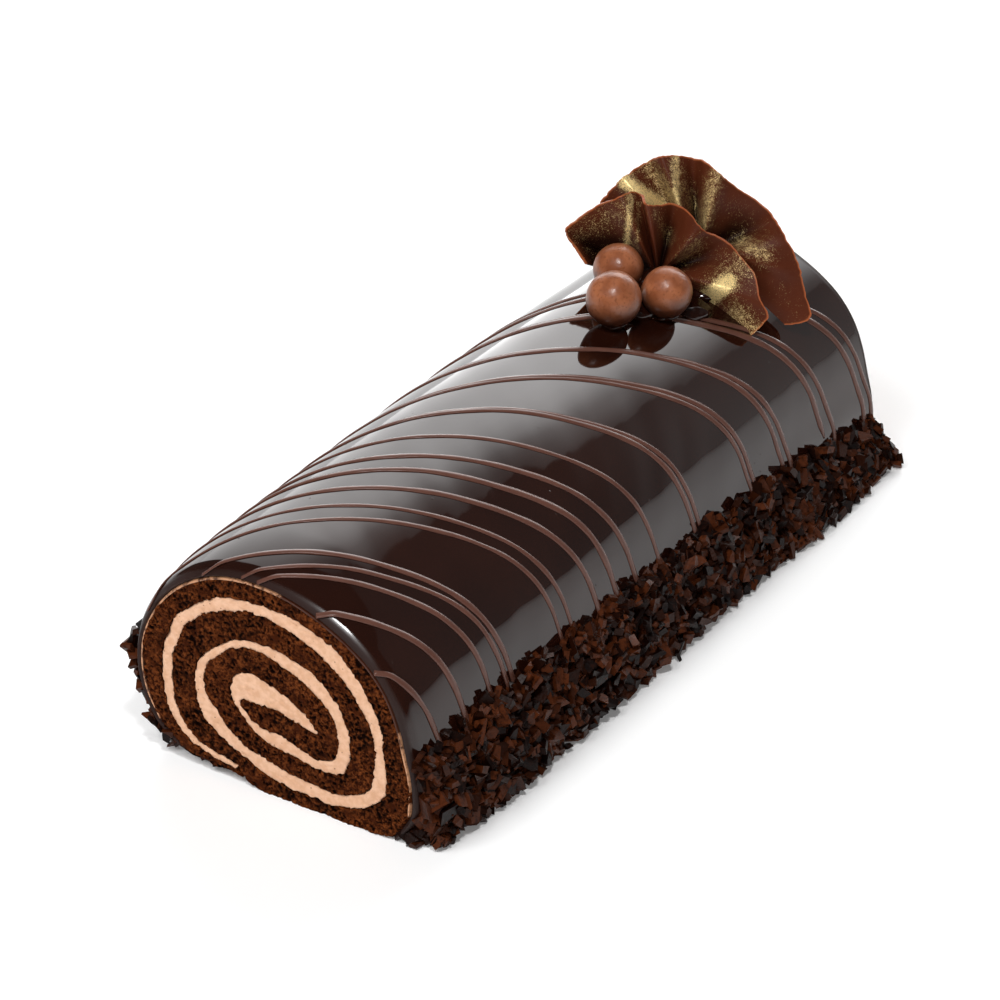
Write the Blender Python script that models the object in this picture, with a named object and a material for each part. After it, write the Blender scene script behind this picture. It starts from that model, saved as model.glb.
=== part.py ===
"""Chocolate swiss roll: a rolled sponge with cream between its windings, glazed,
banded with chocolate flakes along both feet, and decorated near its back end with
three chocolate balls and two pleated chocolate fans.

Frame: X across the roll, +Y along it towards the back end, +Z up, metres. The origin
is at the middle of the whole cake's footprint, on the surface that it rests on. Both
ends are cut. In a cross-section every outline is given in clock hours of 30 degrees
round the heart of the roll: hour 0 points to +X, hour 3 up, and so on.
"""
import math
import random

import bmesh
import bpy
from mathutils import Vector

MM = 0.001
GAP = 0.3                      # mm, between pieces that touch

# ---- driving sizes, in mm ----
LENGTH = 271.0
HEART_HEIGHT = 31.6            # the heart of the roll above the surface it rests on
SPINE_X = -1.5                 # the roll swells evenly about this line on the surface

# Reach of the finished surface from the heart, at hours 0 to 11. Below the heart the
# roll is pressed flat by its own weight, wherever the reach passes the surface.
OUTSIDE = (47.3, 44.6, 41.2, 41.7, 45.0, 48.3, 50.4, 47.0, 33.0, 33.5, 44.0, 54.0)

# Reach of the cream's outer and inner edge. The filling is one long spiral: it starts
# at hour 0 as the lobe in the middle, and the last row is its tail at the seam.
CREAM_OUTER = (
    12.8, 7.7, 6.3, 7.0, 10.2, 14.9, 15.9, 13.4, 13.0, 14.0, 17.4, 28.0,
    26.6, 23.6, 20.9, 20.8, 22.6, 26.0, 29.6, 28.2, 24.7, 26.0, 31.0, 41.9,
    38.9, 36.8, 35.2, 34.0, 37.1, 40.1, 41.2, 40.4, 31.6,
)
CREAM_INNER = (
    None, None, None, None, None, None, None, 11.2, 9.6, 9.2, 11.7, 22.7,
    22.4, 17.9, 15.7, 16.7, 19.8, 23.5, 25.6, 21.9, 20.6, 20.6, 25.8, 36.4,
    35.4, 31.5, 29.2, 30.0, 32.8, 36.4, 37.6, 37.4, 29.6,
)
LOBE_START = -0.36             # hour of the lobe's right-hand tip
LOBE_TIP_REACH = 15.6
SHEET_TIP = (-11.5, -2.5)      # the sheet's rounded inner end, seen from the heart
SHEET_TIP_RADIUS = 1.5
SHEET_TIP_RISE = 1.1           # how far the sheet's upper face bows up under the lobe
TAIL_HOUR = 32.05              # where the cream runs out
SEAM_HOUR = 8.3                # where the sheet's outer end lies against the roll
SEAM_OPENING = 0.05            # hours

GLAZE = 1.2                    # thickness of the glaze
COAT = 0.5                     # thickness of the cream brushed on under the glaze
GLAZE_HOURS = (-1.2, 7.2)      # from the right foot, over the top, to the left foot
COAT_HOURS = (-0.8, 6.8)
SECTION_STEP = 0.4             # hours between points round a section

# Girth along the length, as a share of the girth of the cut at the front.
STATIONS = (0.0, 4.0, 26.0, 100.0, 175.0, 238.0, LENGTH)
GIRTH = (1.0, 1.034, 1.058, 1.062, 1.040, 1.008, 0.995)

# Flakes: height of each band above the surface along the roll, and its thickness.
FLAKE_STATIONS = 22
FLAKES_RIGHT_TOP = (28.0, 29.5, 29.0, 28.5, 28.0, 27.0, 25.5, 23.0, 19.0, 16.0)
FLAKES_LEFT_TOP = (33.0, 34.0, 31.0, 32.0, 30.0, 31.0, 29.0, 30.0, 28.0, 26.0)
FLAKES_LIP = 2.6               # thickness at the band's top edge
FLAKES_RIGHT_FOOT = (10.0, 12.0, 11.5, 11.5, 12.0, 12.0, 13.0, 17.0, 24.0, 22.0)
FLAKES_LEFT_FOOT = (5.0, 5.0, 5.5, 6.0, 5.5, 6.0, 6.5, 7.0, 7.5, 6.5)
FLAKES_TAPER = 1.3             # how quickly a band thins from its foot to its top edge
FLAKES_UNEVEN = 0.9
FLAKES_INSET = 1.5             # the bands stop this far short of the cut ends
FLAKES_FOOT_HOUR = {1: -1.2, -1: 8.0}
FLAKES_GAP = 0.6               # between a band and the roll
FLAKE_ROWS = 6                 # rows of points up each band

# Chocolate balls: place across and along the roll, and radius.
BALLS = ((1.8, 184.7, 9.2), (-8.7, 204.2, 8.4), (10.7, 202.2, 8.5))
BALL_FLATTEN = 0.98
BALL_SIDES = 14

# Chocolate fans: a thin sheet drawn together at a neck, which stands on the glaze.
# Each fan faces across the roll and upwards. Its wavy edge is given by places in
# (across, up, forward), seen facing it, from the foot of the neck.
FAN_TURN = 33.2                # the fans are turned this far from square to the roll
FAN_RISE = 31.0                # and face this far above level
FAN_THICKNESS = 1.2
FAN_CLEAR = 0.9                # the middle of the sheet stays this far above the glaze
FAN_COLUMNS = 2                # columns from each place of the edge to the next
FAN_ROWS = ((0.0, 0.07), (0.5, 0.1), (1.0, 0.16), (1.0, 0.42), (1.0, 0.7), (1.0, 1.0))
FANS = {
    "fan_front": {
        "foot": (5.0, 211.5, 75.5),
        "neck": (-2.4, 8.4, -3.0),
        "edge": (
            (27.2, -13.0, -1.0), (32.3, -7.3, 0.0), (29.8, -1.4, -1.5), (28.0, 6.6, 1.5),
            (21.3, 15.1, 1.0), (16.5, 18.3, 3.0), (11.2, 20.7, -1.0), (8.0, 25.2, 3.5),
            (3.2, 28.8, -0.5), (-1.6, 28.5, 4.5), (-5.3, 28.4, 3.5), (-7.5, 29.2, -1.0),
            (-8.1, 31.6, 0.5), (-10.7, 32.9, 2.5), (-15.4, 31.1, -3.5), (-22.9, 27.9, -2.0),
            (-30.9, 22.0, -5.0), (-32.1, 19.9, -6.0), (-28.8, 15.6, -8.0), (-25.3, 10.2, -9.0),
        ),
    },
    "fan_back": {
        "foot": (9.0, 228.0, 74.5),
        "neck": (-1.3, 9.3, -1.0),
        "edge": (
            (26.0, -14.5, 0.0), (34.0, -12.7, 1.0), (32.4, -4.0, 2.5), (30.8, 3.0, 1.5),
            (27.9, 10.5, -1.5), (23.3, 19.0, 2.0), (18.0, 24.9, 1.0), (9.9, 30.0, -2.5),
            (4.6, 34.3, 2.0), (0.3, 37.8, -2.0), (-3.5, 39.3, 0.5), (-8.8, 40.0, 3.5),
            (-14.2, 39.5, 0.5), (-18.0, 38.1, -2.0), (-22.2, 35.7, 3.0), (-26.5, 32.4, 1.0),
            (-30.3, 28.7, -1.0), (-33.5, 24.4, -2.0),
        ),
    },
}

COLLECTION = "chocolate_swiss_roll"


# ---- the scene, materials and small helpers ----
def clear_scene():
    for item in list(bpy.data.objects):
        bpy.data.objects.remove(item, do_unlink=True)


def material(name, colour, roughness, metallic=0.0):
    made = bpy.data.materials.new(name)
    made.use_nodes = True
    shader = made.node_tree.nodes["Principled BSDF"]
    shader.inputs["Base Color"].default_value = (*colour, 1.0)
    shader.inputs["Roughness"].default_value = roughness
    shader.inputs["Metallic"].default_value = metallic
    return made


def add_object(name, bm, finish, smooth=True):
    """Make a bmesh in millimetres an object in metres."""
    bmesh.ops.scale(bm, vec=(MM, MM, MM), verts=bm.verts)
    bmesh.ops.recalc_face_normals(bm, faces=bm.faces)
    mesh = bpy.data.meshes.new(name)
    bm.to_mesh(mesh)
    bm.free()
    if smooth:
        mesh.shade_smooth()
        mesh.set_sharp_from_angle(angle=math.radians(40))
    mesh.materials.append(finish)
    made = bpy.data.objects.new(name, mesh)
    bpy.data.collections[COLLECTION].objects.link(made)
    return made


def along(values, share):
    """The value at a share from 0 to 1 of an evenly spaced list, smoothly."""
    place = min(max(share, 0.0), 1.0) * (len(values) - 1)
    return curve_value(lambda i: values[min(max(i, 0), len(values) - 1)], place)


def curve_value(value_at, place):
    """A smooth curve through value_at(0), value_at(1) and so on."""
    i = math.floor(place)
    f = place - i
    a, b, c, d = (value_at(i + k) for k in (-1, 0, 1, 2))
    return b + 0.5 * f * (c - a + f * (2 * a - 5 * b + 4 * c - d + f * (3 * (b - c) + d - a)))


def hours(first, last):
    """Hours from first to last, on marks that every piece shares, so skins stay parallel."""
    marks = [i * SECTION_STEP for i in range(math.ceil(first / SECTION_STEP), int(last / SECTION_STEP) + 1)]
    inside = [mark for mark in marks if first + SECTION_STEP / 4 < mark < last - SECTION_STEP / 4]
    return [first] + inside + [last]


# ---- the cross-section ----
def polar(hour, reach):
    angle = math.radians(30.0 * hour)
    return (reach * math.cos(angle), HEART_HEIGHT + reach * math.sin(angle))


def outside_reach(hour):
    return curve_value(lambda i: OUTSIDE[i % 12], hour)


def outside(hour, inset=0.0):
    """A point of the finished outline, or of one that lies inset within it."""
    x, z = polar(hour, outside_reach(hour) - inset)
    return (x, max(z, 0.0))


def cream_reach(table, hour):
    last = len(table) - 1

    def value_at(i):
        i = min(max(i, 0), last)
        while table[i] is None:
            i += 1
        return table[i]

    return curve_value(value_at, hour)


def lobe_top(hour):
    """The lobe's upper edge, drawn in to its right-hand tip."""
    if hour >= 0:
        return cream_reach(CREAM_OUTER, hour)
    return CREAM_OUTER[0] + (LOBE_TIP_REACH - CREAM_OUTER[0]) * hour / LOBE_START


def sheet_tip(radius):
    """The sheet's round inner end, from its upper face round to its lower face."""
    x, z = SHEET_TIP
    turns = [math.radians(degrees) for degrees in (80, 125, 170, 215, 250)]
    return [(x + radius * math.cos(turn), HEART_HEIGHT + z + radius * math.sin(turn)) for turn in turns]


def cream_edge(play):
    """Both edges of the cream: from the tail inwards, round the lobe and out again.

    With play above 0 the same line is the sheet's face, that much off the cream.
    """
    points = [polar(h, lobe_top(h) + play) for h in reversed(hours(LOBE_START, TAIL_HOUR))]
    tip_x, tip_z = points[-1]
    tip_z -= 1.0 + play
    points.append((tip_x - 0.2, tip_z))
    round_end = sheet_tip(SHEET_TIP_RADIUS - play)
    end_x, end_z = round_end[0]
    for share in (0.2, 0.4, 0.6, 0.8):
        rise = SHEET_TIP_RISE * math.sin(math.pi * share)
        points.append((tip_x + (end_x - tip_x) * share, tip_z + (end_z - tip_z) * share + rise))
    points += round_end
    points += [polar(h, cream_reach(CREAM_INNER, h) - play) for h in hours(7.2, TAIL_HOUR)]
    return points


def skin_depth(hour):
    """Depth of the sponge under the finished surface: none where no glaze covers it."""
    depth = 0.0
    for skin_hours, thickness in ((GLAZE_HOURS, GLAZE), (COAT_HOURS, COAT)):
        if skin_hours[0] - 0.01 < hour < skin_hours[1] + 0.01:
            depth += thickness + GAP
    return depth


def swell(points, y):
    """A section's points as they lie at y along the roll, in mm from its front cut."""
    at = max(i for i, station in enumerate(STATIONS[:-1]) if station <= y)
    share = (y - STATIONS[at]) / (STATIONS[at + 1] - STATIONS[at])
    girth = GIRTH[at] + (GIRTH[at + 1] - GIRTH[at]) * share
    return [(SPINE_X + (x - SPINE_X) * girth, y, z * girth) for x, z in points]


def loft(rings):
    """One closed solid through rings of the same number of points, with flat ends."""
    bm = bmesh.new()
    rows = [[bm.verts.new(point) for point in ring] for ring in rings]
    for row, following in zip(rows, rows[1:]):
        for i, vert in enumerate(row):
            bm.faces.new((row[i - 1], vert, following[i], following[i - 1]))
    ends = [bm.faces.new(rows[0]), bm.faces.new(rows[-1])]
    for end in ends:
        end.normal_update()
    bmesh.ops.triangulate(bm, faces=ends, ngon_method="EAR_CLIP")
    return bm


def run_through(section):
    """The solid that a section makes along the whole roll."""
    return loft([swell(section, y) for y in STATIONS])


# ---- the rolled cake ----
def build_sponge(finish):
    """The cocoa sheet: a spiral from its round inner end to the seam under the left."""
    steps = hours(SEAM_HOUR - 12.0 + SEAM_OPENING, SEAM_HOUR - SEAM_OPENING)
    around = [outside(h, skin_depth(h)) for h in steps]
    return add_object("sponge", run_through(around + cream_edge(GAP / 2)), finish)


def build_cream(finish):
    return add_object("cream", run_through(cream_edge(-GAP / 2)), finish)


def build_skin(name, hour_range, depth, thickness, finish):
    """A coat of even thickness, its outer face at a depth under the finished surface."""
    steps = hours(*hour_range)
    outer = [outside(h, depth) for h in steps]
    inner = [outside(h, depth + thickness) for h in reversed(steps)]
    return add_object(name, run_through(outer + inner), finish)


# ---- the bands of flakes ----
def hour_at(height, side):
    """The hour at which the outline stands this high, on side +1 (right) or -1 (left)."""
    low, high = (-1.0, 3.0) if side > 0 else (7.0, 3.0)
    for _ in range(40):
        middle = (low + high) / 2
        if outside(middle)[1] < height:
            low = middle
        else:
            high = middle
    return low


def flake_ring(y, share, side, tops, feet, rng):
    """A band's section: up against the roll, then back down its uneven outer face."""
    foot_hour = FLAKES_FOOT_HOUR[side]
    top_hour = hour_at(along(tops, share), side)
    foot = along(feet, share)
    against, outer = [], []
    for i in range(FLAKE_ROWS + 1):
        rise = i / FLAKE_ROWS
        hour = foot_hour + (top_hour - foot_hour) * rise
        thickness = FLAKES_LIP + (foot - FLAKES_LIP) * (1 - rise) ** FLAKES_TAPER
        against.append(outside(hour, -FLAKES_GAP))
        outer.append(outside(hour, -FLAKES_GAP - thickness - rng.uniform(0, FLAKES_UNEVEN)))
    if side < 0:
        outer[0] = (against[0][0], 0.0)
    return swell(against + outer[::-1], y)


def build_flakes(name, side, tops, feet, finish):
    rng = random.Random(name)
    run = LENGTH - 2 * FLAKES_INSET
    stations = [y for y in STATIONS if FLAKES_INSET < y < FLAKES_INSET + run]
    for i in range(FLAKE_STATIONS):
        y = FLAKES_INSET + run * i / (FLAKE_STATIONS - 1)
        if min(abs(y - station) for station in STATIONS[1:-1]) > 2.0:
            stations.append(y)
    rings = [flake_ring(y, (y - FLAKES_INSET) / run, side, tops, feet, rng) for y in sorted(stations)]
    return add_object(name, loft(rings), finish, smooth=False)


# ---- the decoration ----
def girth_at(y):
    x, _, _ = swell([(SPINE_X + 1.0, 0.0)], y)[0]
    return x - SPINE_X


def surface_height(x, y):
    """Height of the glaze at a place over the roll."""
    girth = girth_at(y)
    across = SPINE_X + (x - SPINE_X) / girth
    low, high = 0.0, 6.0
    for _ in range(30):
        middle = (low + high) / 2
        if outside(middle)[0] > across:
            low = middle
        else:
            high = middle
    return outside(low)[1] * girth


def build_ball(name, x, y, radius, finish):
    """A ball that rests on the glaze, a little flatter than round."""
    slope = surface_height(x + 0.5, y) - surface_height(x - 0.5, y)
    z = surface_height(x, y) + (radius + GAP) * math.hypot(1.0, slope)
    bm = bmesh.new()
    bmesh.ops.create_uvsphere(bm, u_segments=BALL_SIDES, v_segments=BALL_SIDES - 5, radius=radius)
    bmesh.ops.scale(bm, vec=(1.0, 1.0, BALL_FLATTEN), verts=bm.verts)
    bmesh.ops.translate(bm, vec=(x, y, z), verts=bm.verts)
    return add_object(name, bm, finish)


def fan_axes():
    """Unit vectors across a fan, up it and forward out of it."""
    turn, rise = math.radians(FAN_TURN), math.radians(FAN_RISE)
    across = Vector((math.cos(turn), math.sin(turn), 0.0))
    front = Vector((math.sin(turn), -math.cos(turn), 0.0))
    forward = front * math.cos(rise) + Vector((0.0, 0.0, math.sin(rise)))
    return across, forward.cross(across), forward


def fan_point(fan, place, up_neck, spread):
    """The middle of the sheet: so far up the neck, and so far out from it to the edge."""
    edge, neck = fan["edge"], fan["neck"]
    parts = []
    for axis in range(3):
        out = along([corner[axis] for corner in edge], place / (len(edge) - 1))
        parts.append(neck[axis] * up_neck + (out - neck[axis]) * spread)
    across, up, forward = fan_axes()
    point = Vector(fan["foot"]) + across * parts[0] + up * parts[1] + forward * parts[2]
    while point.z < surface_height(point.x, point.y) + FAN_CLEAR:
        point += forward * 0.1
    return point


def build_fan(name, fan, finish):
    """The pleated sheet: rows from the foot to the edge, right to left, and its back."""
    bm = bmesh.new()
    columns = FAN_COLUMNS * (len(fan["edge"]) - 1)
    half = fan_axes()[2] * FAN_THICKNESS / 2
    middle = [[fan_point(fan, i / FAN_COLUMNS, *row) for i in range(columns + 1)] for row in FAN_ROWS]
    rims = []
    for offset in (half, -half):
        sheet = [[bm.verts.new(point + offset) for point in row] for row in middle]
        for row, above in zip(sheet, sheet[1:]):
            for i in range(columns):
                bm.faces.new((row[i], row[i + 1], above[i + 1], above[i]))
        rims.append(border(sheet))
    for i in range(len(rims[0])):
        bm.faces.new((rims[0][i - 1], rims[0][i], rims[1][i], rims[1][i - 1]))
    return add_object(name, bm, finish)


def border(sheet):
    """The vertices round a grid, in order."""
    right = [row[-1] for row in sheet[1:-1]]
    left = [row[0] for row in reversed(sheet[1:-1])]
    return sheet[0] + right + sheet[-1][::-1] + left


def centre_footprint():
    """Move every piece so that the origin is in the middle of the footprint."""
    pieces = bpy.data.collections[COLLECTION].objects
    corners = [vert.co for piece in pieces for vert in piece.data.vertices]
    middle = [-(min(c[axis] for c in corners) + max(c[axis] for c in corners)) / 2 for axis in (0, 1)]
    for piece in pieces:
        for vert in piece.data.vertices:
            vert.co.x += middle[0]
            vert.co.y += middle[1]
    return middle[0] / MM, middle[1] / MM, 0.0


clear_scene()
bpy.context.scene.collection.children.link(bpy.data.collections.new(COLLECTION))
sponge_finish = material("sponge", (0.075, 0.028, 0.014), 0.9)
cream_finish = material("cream", (0.78, 0.50, 0.37), 0.6)
glaze_finish = material("glaze", (0.022, 0.013, 0.011), 0.12)
build_sponge(sponge_finish)
build_cream(cream_finish)
build_skin("coat", COAT_HOURS, GLAZE + GAP, COAT, cream_finish)
build_skin("glaze", GLAZE_HOURS, 0.0, GLAZE, glaze_finish)
flake_finish = material("flakes", (0.045, 0.020, 0.013), 0.4)
build_flakes("flakes_right", 1, FLAKES_RIGHT_TOP, FLAKES_RIGHT_FOOT, flake_finish)
build_flakes("flakes_left", -1, FLAKES_LEFT_TOP, FLAKES_LEFT_FOOT, flake_finish)
ball_finish = material("balls", (0.19, 0.075, 0.042), 0.35)
for number, (x, y, radius) in enumerate(BALLS, start=1):
    build_ball(f"ball_{number}", x, y, radius, ball_finish)
fan_finish = material("fans", (0.075, 0.028, 0.017), 0.35)
for name, fan in FANS.items():
    build_fan(name, fan, fan_finish)
SHIFT = centre_footprint()
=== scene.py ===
"""Looks of the chocolate swiss roll: every visible piece in fine detail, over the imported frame."""
import math
import random

import bmesh
import bpy
from mathutils import Matrix, Vector, kdtree, noise
from mathutils.geometry import delaunay_2d_cdt


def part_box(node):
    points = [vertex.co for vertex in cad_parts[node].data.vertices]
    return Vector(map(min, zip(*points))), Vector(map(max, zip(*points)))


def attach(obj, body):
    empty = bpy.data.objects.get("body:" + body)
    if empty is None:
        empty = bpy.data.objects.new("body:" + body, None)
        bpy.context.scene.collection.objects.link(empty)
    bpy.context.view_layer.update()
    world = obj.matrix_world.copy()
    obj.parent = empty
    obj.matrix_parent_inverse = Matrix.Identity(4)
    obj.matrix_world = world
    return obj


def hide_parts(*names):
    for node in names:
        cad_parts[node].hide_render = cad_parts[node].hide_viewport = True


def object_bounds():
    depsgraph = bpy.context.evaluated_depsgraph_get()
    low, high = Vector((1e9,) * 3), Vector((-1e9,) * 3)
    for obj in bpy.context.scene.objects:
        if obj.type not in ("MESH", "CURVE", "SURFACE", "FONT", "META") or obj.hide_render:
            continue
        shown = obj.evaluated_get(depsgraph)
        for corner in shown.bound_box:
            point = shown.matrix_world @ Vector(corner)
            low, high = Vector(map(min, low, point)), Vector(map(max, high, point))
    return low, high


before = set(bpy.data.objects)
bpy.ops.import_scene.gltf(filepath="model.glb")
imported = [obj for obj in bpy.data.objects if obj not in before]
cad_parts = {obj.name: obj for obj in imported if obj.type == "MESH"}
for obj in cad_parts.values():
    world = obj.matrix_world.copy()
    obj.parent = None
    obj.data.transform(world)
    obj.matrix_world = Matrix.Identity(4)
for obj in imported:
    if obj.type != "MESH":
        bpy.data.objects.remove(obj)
cad_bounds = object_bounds()


# ---- Sponge -------------------------------------------------------------------------
# One sheet of cocoa sponge, baked flat, spread with cream and rolled up from one long
# side. Both ends are sliced, so they show torn crumb: open pores, crumbs that stand
# proud and ragged edges against the cream.
MM = 0.001
MERGE = 0.001 * MM                     # corners this close are the same corner
FLUSH = 0.01 * MM                      # corners this close to a cut lie in it


def clamp(value, low=0.0, high=1.0):
    return min(high, max(low, value))


def cut_outline(node):
    """The node's outline at its front cut as points (x, z), in order round it."""
    bm = bmesh.new()
    bm.from_mesh(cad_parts[node].data)
    bmesh.ops.remove_doubles(bm, verts=bm.verts, dist=MERGE)
    front = min(vert.co.y for vert in bm.verts)
    flush = {vert for vert in bm.verts if vert.co.y < front + FLUSH}
    turns = {}
    for edge in bm.edges:
        if not set(edge.verts) <= flush:
            continue
        if sum(set(face.verts) <= flush for face in edge.link_faces) == 1:
            for vert in edge.verts:
                turns.setdefault(vert, []).append(edge.other_vert(vert))
    start = min(turns, key=lambda vert: (vert.co.z, vert.co.x))
    line, last, here = [start], None, start
    while True:
        ahead = [vert for vert in turns[here] if vert is not last]
        last, here = here, ahead[0]
        if here is start:
            break
        line.append(here)
    outline = [Vector((vert.co.x, vert.co.z)) for vert in line]
    bm.free()
    return outline


def ring_sizes(node):
    """[(y, share of the front cut's size)] for the rings of a node that runs through."""
    whole = 0.9                        # a ring this high, of the first, is a whole section
    heights = {}
    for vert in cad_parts[node].data.vertices:
        y = round(vert.co.y, 5)
        heights[y] = max(heights.get(y, 0.0), vert.co.z)
    rows = sorted(heights.items())
    first = rows[0][1]
    return [(y, height / first) for y, height in rows if height > whole * first]


RINGS = ring_sizes("glaze")
FRONT, BACK = RINGS[0][0], RINGS[-1][0]
LENGTH = BACK - FRONT


def girth(y):
    """Size of the section at y as a share of the front cut, smoothly along the roll."""
    y = clamp(y, FRONT, BACK)
    i = max(k for k, ring in enumerate(RINGS[:-1]) if ring[0] <= y + 1e-9)
    slopes = [(b[1] - a[1]) / (b[0] - a[0]) for a, b in zip(RINGS, RINGS[1:])]

    def slope_at(k):
        if k == 0 or k == len(RINGS) - 1:
            return slopes[min(k, len(slopes) - 1)]
        before, after = slopes[k - 1], slopes[k]
        return 0.0 if before * after <= 0 else 2 * before * after / (before + after)

    span = RINGS[i + 1][0] - RINGS[i][0]
    f = (y - RINGS[i][0]) / span
    rise = (2 * f**3 - 3 * f**2 + 1) * RINGS[i][1] + (3 * f**2 - 2 * f**3) * RINGS[i + 1][1]
    return rise + span * ((f**3 - 2 * f**2 + f) * slope_at(i) + (f**3 - f**2) * slope_at(i + 1))


def find_spine():
    """The x about which the sections grow, from the glaze's widest ring and its first."""
    wide = max(RINGS, key=lambda ring: ring[1])
    verts = [vert.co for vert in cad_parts["glaze"].data.vertices]
    first = max(co.x for co in verts if co.y < FRONT + FLUSH)
    grown = max(co.x for co in verts if abs(co.y - wide[0]) < FLUSH)
    return (grown - wide[1] * first) / (1 - wide[1])


SPINE = find_spine()
HEART = SPINE + 1.5 * MM               # the spiral's heart lies a little beside it


def place(point, y):
    """A point (x, z) of the front cut's section, as it lies at y along the roll."""
    size = girth(y)
    return Vector((SPINE + (point.x - SPINE) * size, y, max(point.y, 0.0) * size))


def rounded(outline, step, corner=50, closed=True):
    """The outline with points every step, curved between its own except at corners."""
    count = len(outline)
    dense = []
    for i in range(count if closed else count - 1):
        a, b, c, d = (outline[(i + k) % count] for k in (-1, 0, 1, 2))
        if not closed:
            a, d = outline[max(i - 1, 0)], outline[min(i + 2, count - 1)]
        chord = c - b
        sharp_b = (b - a).length < 1e-9 or (b - a).angle(chord) > math.radians(corner)
        sharp_c = (d - c).length < 1e-9 or chord.angle(d - c) > math.radians(corner)
        out_b = chord if sharp_b else (c - a) * chord.length / (chord.length + (b - a).length)
        out_c = chord if sharp_c else (d - b) * chord.length / (chord.length + (d - c).length)
        parts = max(1, round(chord.length / step))
        for j in range(parts):
            f = j / parts
            curve = (2 * f**3 - 3 * f**2 + 1) * b + (3 * f**2 - 2 * f**3) * c
            dense.append(curve + (f**3 - 2 * f**2 + f) * out_b + (f**3 - f**2) * out_c)
    if not closed:
        dense.append(outline[-1].copy())
    return dense


def sway(at):
    """A smooth push that changes from place to place, the same at every run."""
    return Vector([noise.noise(at + Vector((9.3, -1.5, -8.0)) * turn) for turn in (1, 2, 3)])


def ragged(outline, amount):
    """The outline pushed about a little, alike for every piece at the same place."""
    moved = []
    for point in outline:
        at = Vector((point.x, 0.0, point.y)) / MM
        push = sway(at * 0.16) * 1.5 + sway(at * 0.45) * 0.8 + sway(at) * 0.9 + sway(at * 2.2) * 0.5
        moved.append(point + Vector((push.x, push.z)) * amount)
    return moved


def lay_ring(bm, points):
    """A closed loop of edges through the points."""
    loop = bmesh.ops.create_circle(bm, segments=len(points), radius=1.0)["verts"]
    for vert, point in zip(loop, points):
        vert.co = point
    return loop


def join_rings(bm, rings):
    """Faces from each ring to the next."""
    for pair in zip(rings, rings[1:]):
        edges = [bm.edges.get((ring[i - 1], ring[i])) for ring in pair for i in range(len(ring))]
        bmesh.ops.bridge_loops(bm, edges=edges)


def sliced_roll(outline, cut_line, relief, grain, rows):
    """A solid along the roll whose two cut faces are a fine mesh with relief (in mm).

    The cut faces have the ragged cut_line, which runs over into the outline behind them.
    """
    proud, near_line, run_over = 0.6, 0.55 * grain, 4 * MM
    bm = bmesh.new()
    relief_layer = bm.verts.layers.float.new("relief")

    def cut_vert(point, y, inward):
        height = relief(point, y)
        at = place(point, y)
        at.y += inward * max(-height, -proud) * MM
        vert = bm.verts.new(at)
        vert[relief_layer] = height
        return vert

    rng = random.Random(7)
    low = Vector((min(p.x for p in outline), min(p.y for p in outline)))
    high = Vector((max(p.x for p in outline), max(p.y for p in outline)))
    tree = kdtree.KDTree(len(cut_line))
    for i, point in enumerate(cut_line):
        tree.insert((point.x, point.y, 0.0), i)
    tree.balance()
    grid = []
    for i in range(int((high.x - low.x) / grain) + 1):
        for j in range(int((high.y - low.y) / grain) + 1):
            x = low.x + (i + rng.uniform(-0.3, 0.3)) * grain
            z = low.y + (j + 0.5 * (i % 2) + rng.uniform(-0.3, 0.3)) * grain
            if tree.find((x, z, 0.0))[2] > near_line:
                grid.append(Vector((x, z)))
    count = len(cut_line)
    points, _, faces, *_ = delaunay_2d_cdt(cut_line + grid, [], [list(range(count))], 1, 1e-8)
    used = sorted({i for face in faces for i in face})
    ends = []
    for y, inward in ((FRONT, 1.0), (BACK, -1.0)):
        verts = {i: cut_vert(points[i], y, inward) for i in used}
        for face in faces:
            bm.faces.new([verts[i] for i in face])
        ends.append([verts[i] for i in range(count)])
    rings = [ends[0]]
    for y in rows:
        blend = min(1.0, min(y - FRONT, BACK - y) / run_over)
        ring = [a.lerp(b, blend) for a, b in zip(cut_line, outline)]
        rings.append(lay_ring(bm, [place(point, y) for point in ring]))
    rings.append(ends[1])
    join_rings(bm, rings)
    bmesh.ops.recalc_face_normals(bm, faces=bm.faces)
    return bm


def add_piece(name, bm, material, replaced=(), sharp=None):
    """Make a bmesh a piece of the root body that stands for the CAD nodes it replaces."""
    mesh = bpy.data.meshes.new(name)
    bm.to_mesh(mesh)
    bm.free()
    mesh.shade_smooth()
    if sharp is not None:
        mesh.set_sharp_from_angle(angle=math.radians(sharp))
    mesh.materials.append(material)
    piece = bpy.data.objects.new(name, mesh)
    bpy.context.scene.collection.objects.link(piece)
    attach(piece, "root")
    if replaced:
        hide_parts(*replaced)


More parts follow.
